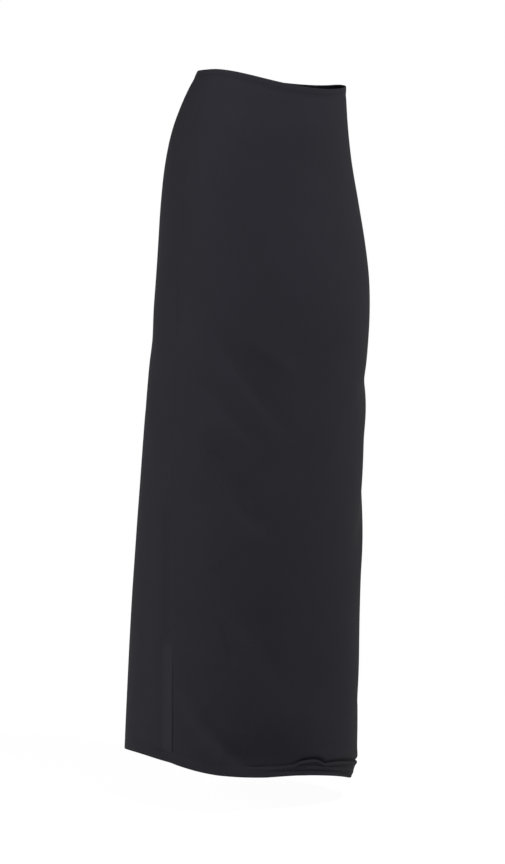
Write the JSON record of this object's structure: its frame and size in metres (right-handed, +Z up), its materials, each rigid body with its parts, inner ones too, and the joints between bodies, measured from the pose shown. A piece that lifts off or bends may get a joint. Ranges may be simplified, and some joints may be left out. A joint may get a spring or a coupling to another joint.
{
  "type": "pull-on maxi column skirt",
  "caption": "Floor-length column skirt in smooth black jersey, open at waist and hem, with a narrow turned elastic waist edge, side seams and a turned hem.",
  "frame": {"origin": "middle of the hollow waist, level with the top edge at the right side seam", "axes": "+Z up out of the waist opening, -Y towards the front of the skirt, -X towards the skirt's right side seam"},
  "size_m": [0.355, 0.3785, 1.1052],
  "materials": {
    "black_jersey": "matte smooth stretch jersey",
    "casing_jersey": "matte smooth stretch jersey turned over elastic"
  },
  "bodies": {
    "root": {"front_panel": "black_jersey", "back_panel": "black_jersey", "waist_casing": "casing_jersey"}
  },
  "joints": []
}
